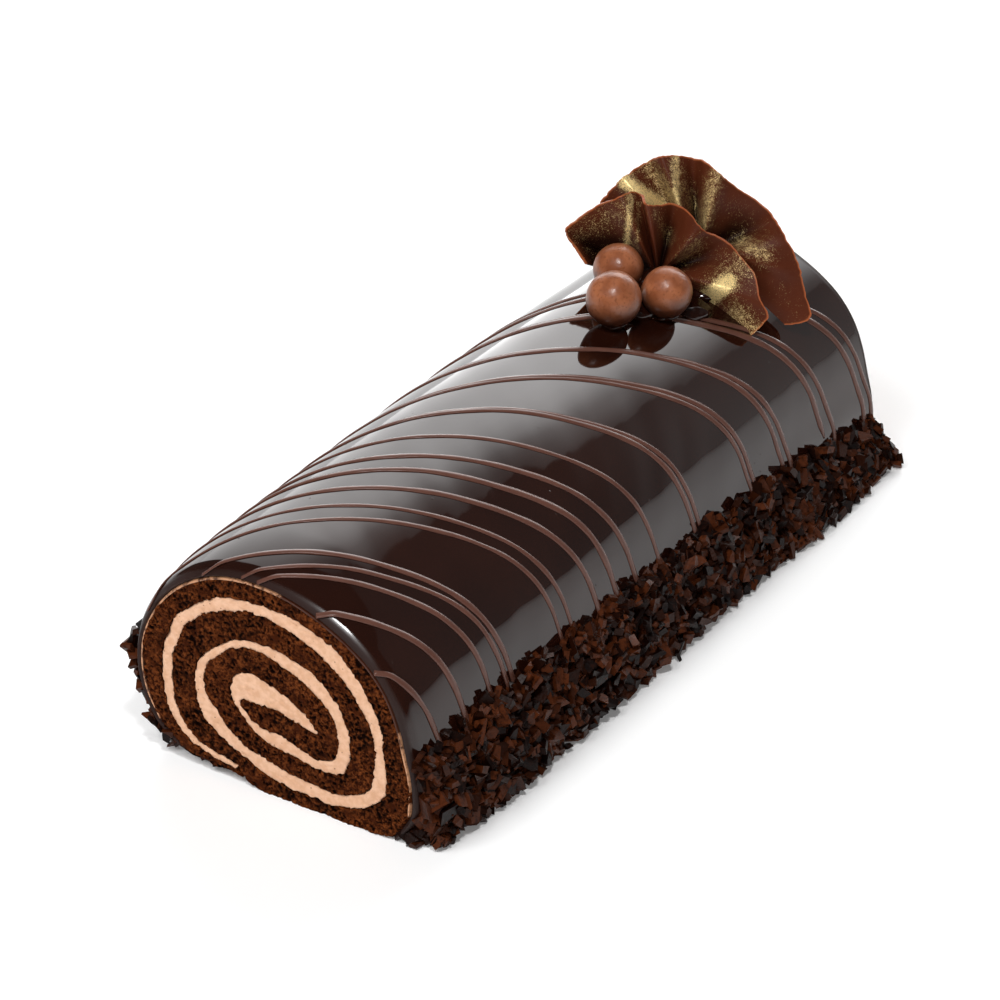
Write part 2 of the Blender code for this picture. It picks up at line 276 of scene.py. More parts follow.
class Shade:
    """A socket of a material's nodes; arithmetic on it adds Math nodes."""

    def __init__(self, tree, socket):
        self.tree, self.socket = tree, socket

    def feed(self, target, value):
        """Link a Shade to a socket, or set the socket to a value."""
        if isinstance(value, Shade):
            self.tree.links.new(value.socket, target)
        else:
            target.default_value = value

    def node(self, kind, settings, sockets, output=0):
        """Any node: its settings are set first, then its sockets' values or links."""
        made = self.tree.nodes.new(kind)
        for name, value in settings.items():
            setattr(made, name, value)
        for key, value in sockets.items():
            self.feed(made.inputs[key], value)
        return Shade(self.tree, made.outputs[output])

    def math(self, operation, *values):
        return self.node("ShaderNodeMath", {"operation": operation}, dict(enumerate(values)))

    def __add__(self, other):
        return self.math("ADD", self, other)

    __radd__ = __add__

    def __sub__(self, other):
        return self.math("SUBTRACT", self, other)

    def __rsub__(self, other):
        return self.math("SUBTRACT", other, self)

    def __mul__(self, other):
        return self.math("MULTIPLY", self, other)

    __rmul__ = __mul__

    def attribute(self, name):
        """A value that the mesh carries at its corners."""
        return self.node("ShaderNodeAttribute", {"attribute_name": name}, {}, "Fac")

    def noise(self, size, detail=2.0, rough=0.5):
        """Noise with features of this size in mm; call it on the coordinates."""
        scale = 1.0 / (size * MM)
        sockets = {"Vector": self, "Scale": scale, "Detail": detail, "Roughness": rough}
        return self.node("ShaderNodeTexNoise", {}, sockets)

    def cells(self, size):
        """Distance from scattered points this far apart in mm; 0 at each point."""
        return self.node("ShaderNodeTexVoronoi", {}, {"Vector": self, "Scale": 1.0 / (size * MM)})

    def between(self, low, high):
        """0 at low or under, 1 at high or over, smoothly."""
        sockets = {"Value": self, "From Min": low, "From Max": high}
        return self.node("ShaderNodeMapRange", {"interpolation_type": "SMOOTHSTEP"}, sockets)

    def mix(self, a, b):
        """Colour a where this is 0 and b where it is 1."""
        colours = [value if isinstance(value, Shade) else (*value, 1.0) for value in (a, b)]
        sockets = {0: self, 6: colours[0], 7: colours[1]}      # the Mix node's colour sockets
        return self.node("ShaderNodeMix", {"data_type": "RGBA"}, sockets, 2)

    def bump(self, height_mm, strength=1.0):
        """A bumped normal; this value is a share of height_mm."""
        sockets = {"Strength": strength, "Distance": height_mm * MM, "Height": self}
        return self.node("ShaderNodeBump", {}, sockets)


def new_finish(name, **settings):
    """A material with plain settings on its shader, its shader and its Object coordinates."""
    material = bpy.data.materials.new(name)
    material.use_nodes = True
    tree = material.node_tree
    shader = tree.nodes["Principled BSDF"]
    for socket, value in settings.items():
        shader.inputs[socket.replace("_", " ")].default_value = value
    corner = tree.nodes.new("ShaderNodeTexCoord")
    return material, shader, Shade(tree, corner.outputs["Object"])


CUT_APART = 40.0                       # takes the back cut's pattern far from the front's


def crumb_relief(point, y):
    """Height in mm of the torn crumb: pits, lumps and a slow unevenness."""
    at = Vector((point.x / MM, y * CUT_APART, point.y / MM))
    warp = sway(at * 0.8) * 0.5
    coarse = 0.6 + 0.4 * noise.noise(at / 7.0 + Vector((3.0, 1.0, 0.0)))
    pore = noise.voronoi((at + warp) / 1.7)[0][0]
    fine = noise.voronoi((at + warp) / 0.95 + Vector((5.0, 2.0, 9.0)))[0][0]
    lumps = noise.fractal(at / 1.3, 1.0, 2.0, 3)
    pits = 1.3 * max(0.0, 1.0 - pore / 0.40) + 0.8 * max(0.0, 1.0 - fine / 0.42)
    return 0.34 * lumps + 0.25 * noise.noise(at / 9.0) - pits * coarse


sponge_finish, shader, spot = new_finish("sponge", Roughness=0.95, Specular_IOR_Level=0.05)
relief = spot.attribute("relief")
crumb = spot.noise(1.0, 3.0, 0.7)
patches = spot.noise(5.0, 2.0)
colour = crumb.between(0.38, 0.66).mix((0.021, 0.0038, 0.0009), (0.155, 0.0410, 0.0105))
colour = patches.between(0.45, 0.75).mix(colour, (0.044, 0.0096, 0.0026))
# Painted shade: the deeper a pit of the crumb's relief, the nearer black it is coloured, as the
# shade inside the pores.
colour = relief.between(0.05, -0.42).mix(colour, (0.0035, 0.0008, 0.0003))
spot.feed(shader.inputs["Base Color"], colour)
bumps = crumb * 0.6 + spot.noise(0.4, 2.0) * 0.4
spot.feed(shader.inputs["Normal"], bumps.bump(0.6, 0.9))

OUTLINE_STEP = 0.65 * MM
CRUMB_GRAIN, CRUMB_RAG = 0.45 * MM, 0.45 * MM
ROW_SHARES = (0.004, 0.015, 0.06, 0.15, 0.3, 0.5, 0.7, 0.88, 0.985, 0.996)
RUN_ROWS = [FRONT + LENGTH * share for share in ROW_SHARES]
sponge_outline = rounded(cut_outline("sponge"), OUTLINE_STEP)
sponge_cut = ragged(sponge_outline, CRUMB_RAG)
bm = sliced_roll(sponge_outline, sponge_cut, crumb_relief, CRUMB_GRAIN, RUN_ROWS)
add_piece("sponge_sheet", bm, sponge_finish, ("sponge",))


# ---- Cream --------------------------------------------------------------------------
# Whipped chocolate cream, spread on the sheet before it was rolled, so it is one
# spiral layer. The knife drags it into faint smears and leaves tiny air holes.
def cream_relief(point, y):
    """Height in mm of the cream's cut: just below the crumb, smeared, with a few air holes."""
    at = Vector((point.x / MM, y * CUT_APART, point.y / MM))
    smear = noise.noise(Vector((at.x * 0.5 + at.z * 0.2, 3.0, at.z * 1.3 - at.x * 0.3)))
    bubble = noise.voronoi(at / 1.9)[0][0]
    crumbs = noise.noise(at / 0.9) + 0.5 * noise.noise(at / 0.45)
    return -0.25 + 0.2 * smear + 0.16 * crumbs - 0.3 * max(0.0, 1.0 - bubble / 0.14)


cream_finish, shader, spot = new_finish("cream", Roughness=0.55, Specular_IOR_Level=0.35)
relief = spot.attribute("relief")
smears = spot.noise(3.0, 3.0, 0.6).between(0.3, 0.7)
colour = smears.mix((0.66, 0.365, 0.215), (0.78, 0.48, 0.315))
# Painted shade: the air holes, the deepest parts of the relief, are coloured darker.
colour = relief.between(-0.36, -0.6).mix(colour, (0.40, 0.17, 0.08))
crumbs = spot.cells(1.9).between(0.15, 0.07) * spot.noise(6.0, 1.0).between(0.42, 0.58)
colour = crumbs.mix(colour, (0.16, 0.05, 0.018))
spot.feed(shader.inputs["Base Color"], colour)
spot.feed(shader.inputs["Normal"], spot.noise(0.6, 3.0).bump(0.12, 0.6))

CREAM_GRAIN, CREAM_RAG = 0.5 * MM, 0.55 * MM
cream_outline = rounded(cut_outline("cream"), OUTLINE_STEP)
cream_cut = ragged(cream_outline, CREAM_RAG)
bm = sliced_roll(cream_outline, cream_cut, cream_relief, CREAM_GRAIN, RUN_ROWS)
add_piece("cream_layer", bm, cream_finish, ("cream",))


# ---- Coat ---------------------------------------------------------------------------
# A thin masking coat of the same cream, brushed over the rolled sponge so that the
# glaze takes on a smooth ground. At the cuts it is a pale line just under the glaze.
def plain_roll(outline, rows):
    """A solid along the roll through the same outline at each of the rows, with flat ends."""
    bm = bmesh.new()
    rings = [lay_ring(bm, [place(point, y) for point in outline]) for y in rows]
    join_rings(bm, rings)
    for ring in (rings[0], rings[-1]):
        end = bm.faces.new(ring)
        end.normal_update()
        bmesh.ops.triangulate(bm, faces=[end], ngon_method="EAR_CLIP")
    bmesh.ops.recalc_face_normals(bm, faces=bm.faces)
    return bm


coat_finish, shader, spot = new_finish("coat", Roughness=0.6, Specular_IOR_Level=0.35)
thin = spot.attribute("thin")
colour = (spot.noise(3.0, 3.0, 0.7) * 0.9 - thin).between(0.3, 0.52)
colour = colour.mix((0.055, 0.015, 0.006), (0.56, 0.28, 0.15))
spot.feed(shader.inputs["Base Color"], colour)
COAT_STEP, COAT_SHORT, COAT_ROWS = 1.2 * MM, 0.2 * MM, 40
coat_outline = rounded(cut_outline("coat"), COAT_STEP)
coat_length = LENGTH - 2 * COAT_SHORT
coat_rows = [FRONT + COAT_SHORT + coat_length * i / COAT_ROWS for i in range(COAT_ROWS + 1)]
bm = plain_roll(coat_outline, coat_rows)
thin_layer = bm.verts.layers.float.new("thin")
for vert in bm.verts:                  # it is brushed out thin over the right shoulder
    beside, up = (vert.co.x - HEART) / MM, vert.co.z / MM
    vert[thin_layer] = clamp((beside - 2.0) / 10.0) * clamp((up - 38.0) / 10.0)
add_piece("cream_coat", bm, coat_finish, ("coat",), sharp=40)


# ---- Glaze --------------------------------------------------------------------------
# Dark chocolate mirror glaze, poured warm over the chilled roll: about a millimetre
# thick, wet and glossy, with the soft waves that it sets in as it runs down.
def open_side(outline):
    """The outer half of a skin's outline, from its right foot over the top to its left."""
    def turn_at(i):
        ahead = outline[(i + 1) % len(outline)] - outline[i]
        return (outline[i] - outline[i - 1]).angle(ahead)

    corners = sorted(sorted(range(len(outline)), key=turn_at)[-4:])
    sides = [outline[a:b + 1] for a, b in zip(corners, corners[1:])]
    sides.append(outline[corners[-1]:] + outline[:corners[0] + 1])
    sides.sort(key=lambda side: sum((b - a).length for a, b in zip(side, side[1:])))
    side = sides[-1]
    return side if side[0].x > side[-1].x else side[::-1]


SKIN_STEP = 0.8 * MM
skin_line = rounded(open_side(cut_outline("glaze")), SKIN_STEP, closed=False)
skin_reach = [0.0]
for a, b in zip(skin_line, skin_line[1:]):
    skin_reach.append(skin_reach[-1] + (b - a).length)
SKIN_LENGTH = skin_reach[-1]
MIDDLE = 32 * MM                       # height of the middle of the sections


def skin_point(share, y, out=0.0):
    """A point of the finished surface: share 0 at the right foot, 1 at the left foot."""
    reach = clamp(share) * SKIN_LENGTH
    i = min(int(reach / SKIN_LENGTH * (len(skin_line) - 1)), len(skin_line) - 2)
    while skin_reach[i + 1] < reach and i < len(skin_line) - 2:
        i += 1
    while skin_reach[i] > reach and i > 0:
        i -= 1
    f = (reach - skin_reach[i]) / (skin_reach[i + 1] - skin_reach[i])
    flat = skin_line[i].lerp(skin_line[i + 1], f)
    lead = skin_line[min(i + 2, len(skin_line) - 1)] - skin_line[max(i - 1, 0)]
    normal = Vector((lead.y, -lead.x)).normalized()
    if normal.dot(flat - Vector((HEART, MIDDLE))) < 0:
        normal.negate()
    at = Vector((reach, y, 0.0)) / MM
    slant = Vector((at.x * 0.8 + at.y * 0.25, at.y - at.x * 0.75, 0.0))
    swell = 0.15 * noise.noise(at / 32.0)
    swell += 0.09 * noise.noise(Vector((slant.x / 60.0, slant.y / 14.0, 4.0)))
    return place(flat + normal * (out + swell * MM), y)


def skin_share(x, y):
    """The share at which the finished surface lies over x, on the roll's upper side."""
    low, high = 0.0, 1.0
    for _ in range(24):
        middle = (low + high) / 2
        if skin_point(middle, y).x > x:
            low = middle
        else:
            high = middle
    return low


glaze_finish, shader, spot = new_finish("glaze", Roughness=0.045, IOR=1.5, Specular_IOR_Level=0.5)
tint = spot.noise(30.0, 2.0).between(0.3, 0.7)
colour = tint.mix((0.0145, 0.0036, 0.0019), (0.0195, 0.0050, 0.0026))
spot.feed(shader.inputs["Base Color"], colour)
specks = spot.cells(5.5).between(0.07, 0.03) * spot.noise(14.0, 1.0).between(0.5, 0.62)
spot.feed(shader.inputs["Normal"], (specks + spot.noise(2.5, 2.0) * 0.02).bump(0.12, 0.6))
dull = spot.attribute("dull")
spot.feed(shader.inputs["Roughness"], dull * 0.6 + 0.045)

GLAZE_DEPTH = 1.5 * MM
CUT_LIP, LIP_DROP = 0.9 * MM, 0.35 * MM     # the knife rounds the glaze's edge at the cuts
DULL_BAND = 1.1 * MM                        # and leaves it dull this far in, then fading


def glaze_row(along):
    """How far along the roll a row of the glaze lies, close together at the cuts."""
    tight, share = 1.6 * MM, 0.02
    if along < share:
        return FRONT + tight * (along / share) ** 1.5
    if along > 1.0 - share:
        return BACK - tight * ((1.0 - along) / share) ** 1.5
    return FRONT + tight + (LENGTH - 2 * tight) * (along - share) / (1.0 - 2 * share)


bm = bmesh.new()
bmesh.ops.create_grid(bm, x_segments=210, y_segments=250, size=0.5)
for vert in bm.verts:
    y = glaze_row(vert.co.y + 0.5)
    edge = min(y - FRONT, BACK - y)
    tuck = -LIP_DROP * max(0.0, 1.0 - edge / CUT_LIP) ** 2
    vert.co = skin_point(vert.co.x + 0.5, y, tuck)
bmesh.ops.recalc_face_normals(bm, faces=bm.faces)
if max(bm.verts, key=lambda vert: vert.co.z).normal.z < 0:
    bmesh.ops.reverse_faces(bm, faces=bm.faces)
bmesh.ops.solidify(bm, geom=bm.faces[:], thickness=GLAZE_DEPTH)
bmesh.ops.recalc_face_normals(bm, faces=bm.faces)
dull_layer = bm.verts.layers.float.new("dull")
for vert in bm.verts:
    edge = min(vert.co.y - FRONT, BACK - vert.co.y)
    vert[dull_layer] = clamp(2.0 - edge / DULL_BAND)
add_piece("mirror_glaze", bm, glaze_finish, ("glaze",), sharp=35)


# ---- Drizzle ------------------------------------------------------------------------
# Threads of milk chocolate, piped on the set glaze by swinging a paper cone across
# the roll while moving along it: near-straight strokes seen from above, a little
# raised, some laid twice. Strokes at the front run out at the cut.
STROKE_STEP = 0.004                    # share of the skin between a stroke's places
STROKE_LEFT, STROKE_RIGHT = -40.0, 47.0     # mm beside the heart
STROKES = (      # mm from the front cut at the left, at the heart and at the right; first share
    (-62, -31, 10, 0.055), (-42, -12, 24, 0.065), (-25, 4, 38, 0.075), (-25, 9, 46, 0.09),
    (-10, 17, 49, 0.08), (5, 38.5, 76, 0.055), (18, 47.5, 82, 0.085), (32, 59.5, 96, 0.055),
    (45, 72, 107, 0.10), (53, 82, 118, 0.045), (66, 96, 132, 0.115), (78, 115, 154, 0.035),
    (79, 116, 157, 0.085), (96, 139.5, 188, 0.045), (97, 141, 191, 0.075), (124, 163, 213, 0.04),
    (125, 163.5, 209, 0.095), (152, 193.5, 242, 0.045), (150, 191, 236, 0.12),
    (168, 212, 262, 0.03), (174, 218, 267, 0.06),
)


def stroke_y(stroke, x):
    """How far along the roll a stroke lies where it crosses x, all in mm."""
    left, top, right = stroke[:3]
    a = (left - top) / STROKE_LEFT
    b = (right - top) / STROKE_RIGHT
    bend = (b - a) / (STROKE_RIGHT - STROKE_LEFT)
    return top + a * x + bend * x * (x - STROKE_LEFT)


def stroke_path(stroke, end):
    """The stroke's places (share of the skin, y) on the roll, wavering a little."""
    path, share = [], stroke[3]
    while share < end:
        y = 0.0
        for _ in range(3):
            x = skin_point(share, y).x
            y = FRONT + stroke_y(stroke, (x - HEART) / MM) * MM
            y = clamp(y, FRONT - MM, BACK + MM)
        y += 0.5 * MM * noise.noise(Vector((share * 9.0, stroke[1], 0.0)))
        if FRONT < y < BACK:
            path.append((share, y))
        share += STROKE_STEP
    return path


def gather(bm, part):
    """Add one small bmesh to a big one."""
    mesh = bpy.data.meshes.new("part")
    part.to_mesh(mesh)
    part.free()
    bm.from_mesh(mesh)
    bpy.data.meshes.remove(mesh)


milk_finish, shader, spot = new_finish("milk_drizzle", Roughness=0.27, Specular_IOR_Level=0.35)
colour = spot.noise(6.0, 2.0).mix((0.085, 0.033, 0.023), (0.135, 0.058, 0.041))
spot.feed(shader.inputs["Base Color"], colour)

AT_CUT = FRONT + 0.05 * MM             # where a thread that runs out at the cut ends
NEAR_CUT = FRONT + 3 * MM              # one that comes this near runs out at the cut
THREAD_SIDES, THREAD_RISE = 8, 0.36    # corners of its section; its height to its width
TIP, TIP_STEPS = 0.3, 9                # a free end starts this thin and grows in these steps
bm = bmesh.new()
rng = random.Random(11)
for stroke in STROKES:
    width = rng.uniform(0.9, 1.3) * MM
    path = stroke_path(stroke, 1.0 - rng.uniform(0.05, 0.12))
    if len(path) < 6:
        continue
    from_cut = path[0][1] < NEAR_CUT, path[-1][1] < NEAR_CUT
    for first, second, at in ((path[0], path[1], 0), (path[-1], path[-2], len(path))):
        drop = second[1] - first[1]
        if first[1] < NEAR_CUT and drop > 0:
            run_on = (first[1] - AT_CUT) / drop
            path.insert(at, (first[0] + (first[0] - second[0]) * run_on, AT_CUT))
    strand = bmesh.new()
    rings = []
    for i, (share, y) in enumerate(path):
        here = skin_point(share, y)
        before, after = path[max(i - 1, 0)], path[min(i + 1, len(path) - 1)]
        run = (skin_point(*after) - skin_point(*before)).normalized()
        out = (skin_point(share, y, MM) - here).normalized()
        side = run.cross(out).normalized()
        fade = 1.0
        if not from_cut[0]:
            fade = min(fade, i / TIP_STEPS + TIP)
        if not from_cut[1]:
            fade = min(fade, (len(path) - 1 - i) / TIP_STEPS + TIP)
        wide = width * fade * (1 + 0.25 * noise.noise(Vector((share * 26.0, stroke[1], 5.0))))
        here += out * 0.08 * MM
        rings.append(lay_ring(strand, [
            here + side * wide * math.cos(turn) + out * THREAD_RISE * wide * math.sin(turn)
            for turn in (math.tau * k / THREAD_SIDES for k in range(THREAD_SIDES))
        ]))
    join_rings(strand, rings)
    for ring in (rings[0], rings[-1]):
        bmesh.ops.contextual_create(strand, geom=ring)
    gather(bm, strand)
bmesh.ops.recalc_face_normals(bm, faces=bm.faces)
add_piece("milk_drizzle", bm, milk_finish)


# ---- Chocolate flakes ---------------------------------------------------------------
# Dark chocolate chopped into angular flakes and columns, pressed by hand against the
# lower sides while the glaze is still tacky, and heaped along the foot.
FLAKES_PER_MM2 = 0.25
FLAKE_LONG, FLAKE_WIDE, FLAKE_THICK = (3.0, 5.6), (2.2, 3.6), (1.2, 2.4)    # mm, before growing
FLAKE_GROW = (0.75, 1.4)
SETTLE = {"right": (-0.6, 4.4, 1.6), "left": (1.8, 5.2, 3.6)}     # mm under the heap's outline
STRAYS = {"right": 150, "left": 60}    # those that stick to the glaze above the heap
OFF_FLOOR = 0.1 * MM                   # how near a flake may come to the floor


def chop_flake(rng):
    """One flake of unit size: a block with its corners askew and an edge or two knocked off."""
    bm = bmesh.new()
    bmesh.ops.create_cube(bm, size=1.0)
    for vert in bm.verts:
        vert.co += Vector([rng.uniform(-0.17, 0.17) for _ in range(3)])
    for _ in range(rng.choice((1, 1, 2))):
        way = Vector([rng.gauss(0.0, 1.0) for _ in range(3)]).normalized()
        reach = max(vert.co.dot(way) for vert in bm.verts)
        knock = way * reach * rng.uniform(0.55, 0.8)
        everything = bm.verts[:] + bm.edges[:] + bm.faces[:]
        bmesh.ops.bisect_plane(bm, geom=everything, plane_co=knock, plane_no=way, clear_outer=True)
        bmesh.ops.holes_fill(bm, edges=bm.edges)
    bmesh.ops.recalc_face_normals(bm, faces=bm.faces)
    mesh = bpy.data.meshes.new("flake")
    bm.to_mesh(mesh)
    bm.free()
    return mesh


flake_rng = random.Random(23)
FLAKE_KINDS = [chop_flake(flake_rng) for _ in range(30)]


def drop_flake(bm, rng, at, normal, size):
    """Lay one flake at a place, flat side roughly along the surface there."""
    first = len(bm.verts)
    bm.from_mesh(rng.choice(FLAKE_KINDS))
    verts = bm.verts[first:]
    tint_layer = bm.verts.layers.float["tint"]
    lean = Vector([rng.gauss(0.0, 0.75) for _ in range(3)])
    turn = (normal + lean).to_track_quat("Z", "Y").to_matrix().to_4x4()
    spin = Matrix.Rotation(rng.uniform(0.0, math.tau), 4, "Z")
    matrix = Matrix.Translation(at) @ turn @ spin @ Matrix.Diagonal((*size, 1.0))
    bmesh.ops.transform(bm, matrix=matrix, verts=verts)
    lowest = min(vert.co.z for vert in verts)
    if lowest < OFF_FLOOR:
        bmesh.ops.translate(bm, vec=(0.0, 0.0, OFF_FLOOR - lowest), verts=verts)
    tint = rng.random()
    for vert in verts:
        vert[tint_layer] = tint


flake_finish, shader, spot = new_finish("flakes", Roughness=0.36, Specular_IOR_Level=0.11)
tint = spot.attribute("tint")
colour = tint.between(0.15, 1.0).mix((0.004, 0.0008, 0.0003), (0.072, 0.0180, 0.0058))
colour = spot.noise(1.6, 3.0).between(0.45, 0.75).mix(colour, (0.016, 0.0036, 0.0011))
spot.feed(shader.inputs["Base Color"], colour)
spot.feed(shader.inputs["Roughness"], spot.noise(2.0, 2.0) * 0.3 + 0.22)
spot.feed(shader.inputs["Normal"], spot.noise(0.7, 3.0).bump(0.15, 0.7))

# Painted shade: the mass behind the flakes is coloured near-black, as the shade deep in the heap.
bed_shade_finish, shader, spot = new_finish("flake_bed", Roughness=0.7, Specular_IOR_Level=0.1)
colour = spot.noise(1.5, 3.0).mix((0.004, 0.0012, 0.0006), (0.016, 0.0045, 0.0018))
spot.feed(shader.inputs["Base Color"], colour)


def away_from_heart(at):
    """The way out of the roll at a place near its side."""
    return Vector((at.x - HEART, 0.0, at.z - MIDDLE)).normalized()


def outer_faces(heap):
    """[(area, corners, normal)] of a heap's faces that show: not those on the roll or the floor."""
    outer = []
    for face in heap.faces:
        facing_out = face.normal.dot(away_from_heart(face.calc_center_median())) > -0.25
        if face.normal.z > -0.9 and (facing_out or abs(face.normal.y) > 0.8):
            corners = [vert.co.copy() for vert in face.verts]
            outer.append((face.calc_area(), corners, face.normal.copy()))
    return outer


def heaped_places(heap, side, rng):
    """Places and normals of the flakes just under a heap's outline; few high at the left front."""
    bare_length, bare_above, bare_share = 40 * MM, 14 * MM, 0.75
    outer = outer_faces(heap)
    areas = [face[0] for face in outer]
    places = []
    count = int(sum(areas) / MM**2 * FLAKES_PER_MM2)
    for _, corners, normal in rng.choices(outer, weights=areas, k=count):
        u, v = rng.random(), rng.random()
        if u + v > 1.0:
            u, v = 1.0 - u, 1.0 - v
        at = corners[0] + (corners[1] - corners[0]) * u + (corners[2] - corners[0]) * v
        at -= normal * rng.triangular(*SETTLE[side]) * MM
        bare = side == "left" and at.y < FRONT + bare_length and at.z > bare_above
        if bare and rng.random() < bare_share:
            continue
        places.append((at, normal))
    return places


def stray_places(heap, count, rng):
    """Places and normals of the flakes scattered along a heap's upper edge."""
    tops = {}
    for vert in heap.verts:
        y = round(vert.co.y, 5)
        if y not in tops or vert.co.z > tops[y].z:
            tops[y] = vert.co.copy()
    tops = [tops[y] for y in sorted(tops)]
    places = []
    for _ in range(count):
        i = rng.randrange(len(tops) - 1)
        at = tops[i].lerp(tops[i + 1], rng.random())
        away = away_from_heart(at)
        up = Vector((-away.z, 0.0, away.x))
        up = up if up.z > 0 else -up
        places.append((at + (up * rng.triangular(-2.0, 2.6, -0.5) - away * 0.3) * MM, away))
    return places


def shrink_to_bed(heap):
    """Draw a heap's solid in under its flakes, as the near-black mass behind them: painted shade in
    the gaps between the flakes.
    """
    inset, lean, end_gap, sink = 3.6 * MM, 0.45, 6.0 * MM, 3.4 * MM
    for vert in heap.verts:
        out = vert.co.x - HEART
        inward = inset if vert.normal.x * out > 0 or abs(out) > 52 * MM else 0.0
        inward += lean * max(0.0, abs(out) - 50 * MM)
        vert.co.x -= math.copysign(inward, out)
        vert.co.y *= 1.0 - end_gap / LENGTH
        vert.co.z = max(vert.co.z - sink, 0.15 * MM)
    bmesh.ops.recalc_face_normals(heap, faces=heap.faces)


HANDFUL = 60                           # flakes made at a time
for side, seed in (("right", 5), ("left", 9)):
    rng = random.Random(seed)
    heap = bmesh.new()
    heap.from_mesh(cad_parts["flakes_" + side].data)
    bmesh.ops.remove_doubles(heap, verts=heap.verts, dist=MERGE)
    heap.normal_update()
    places = heaped_places(heap, side, rng)
    places += stray_places(heap, STRAYS[side], rng)
    rng.shuffle(places)
    bm = bmesh.new()
    for start in range(0, len(places), HANDFUL):
        handful = bmesh.new()
        handful.verts.layers.float.new("tint")
        for at, normal in places[start:start + HANDFUL]:
            grow = rng.uniform(*FLAKE_GROW) * MM
            long, wide = rng.uniform(*FLAKE_LONG) * grow, rng.uniform(*FLAKE_WIDE) * grow
            drop_flake(handful, rng, at, normal, (long, wide, rng.uniform(*FLAKE_THICK) * MM))
        gather(bm, handful)
    add_piece("flake_heap_" + side, bm, flake_finish, ("flakes_" + side,), sharp=20)
    shrink_to_bed(heap)
    add_piece("flake_bed_" + side, heap, bed_shade_finish)


# ---- Chocolate balls ----------------------------------------------------------------
# Three crisp balls panned in milk chocolate, satin with faint dimples from the pan,
# set on the glaze on a dab of melted chocolate.
ball_finish, shader, spot = new_finish("milk_chocolate", Roughness=0.3, Specular_IOR_Level=0.5)
patches = spot.noise(5.0, 3.0).between(0.3, 0.7)
colour = patches.mix((0.225, 0.067, 0.026), (0.36, 0.124, 0.054))
colour = spot.noise(0.9, 3.0).between(0.5, 0.75).mix(colour, (0.20, 0.060, 0.024))
# Painted shade: the balls are coloured darker the lower they face, as shade on their undersides.
shade = spot.attribute("underside_shade") + spot.noise(2.5, 3.0) * 0.3      # darker towards the glaze
colour = shade.between(0.15, 1.25).mix(colour, (0.040, 0.0100, 0.0040))
spot.feed(shader.inputs["Base Color"], colour)
spot.feed(shader.inputs["Roughness"], spot.noise(3.0, 3.0) * 0.25 + 0.2)
dimples = spot.noise(2.6, 2.0) + spot.noise(0.6, 2.0) * 0.12
spot.feed(shader.inputs["Normal"], dimples.bump(0.35, 0.55))

DAB_SIZE, DAB_RISE = (4.2 * MM, 4.2 * MM, 1.7 * MM), 0.4 * MM
for number in (1, 2, 3):
    low, high = (Vector(corner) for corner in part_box("ball_%d" % number))
    bm = bmesh.new()
    bmesh.ops.create_icosphere(bm, subdivisions=6, radius=1.0)
    # How much painted shade each corner takes, more the lower it faces.
    underside_shade_layer = bm.verts.layers.float.new("underside_shade")
    for vert in bm.verts:
        way = vert.co.normalized()
        vert[underside_shade_layer] = max(0.0, 0.5 - way.z)
        swell_at = way * 1.4 + Vector((number * 7.0, 0.0, 0.0))
        vert.co = way * (1.0 + 0.022 * noise.noise(swell_at) + 0.004 * noise.noise(swell_at * 4.0))
    bmesh.ops.scale(bm, vec=(high - low) / 2, verts=bm.verts)
    bmesh.ops.translate(bm, vec=(high + low) / 2, verts=bm.verts)
    add_piece("malt_ball_%d" % number, bm, ball_finish, ("ball_%d" % number,))
    dab = bmesh.new()
    bmesh.ops.create_uvsphere(dab, u_segments=40, v_segments=20, radius=1.0)
    for vert in dab.verts:
        vert.co *= 1.0 + 0.25 * noise.noise(vert.co * 1.3 + Vector((number * 5.0, 0.0, 2.0)))
    bmesh.ops.scale(dab, vec=DAB_SIZE, verts=dab.verts)
    foot = Vector(((low.x + high.x) / 2, (low.y + high.y) / 2, low.z + DAB_RISE))
    bmesh.ops.translate(dab, vec=foot, verts=dab.verts)
    add_piece("melted_dab_%d" % number, dab, glaze_finish)


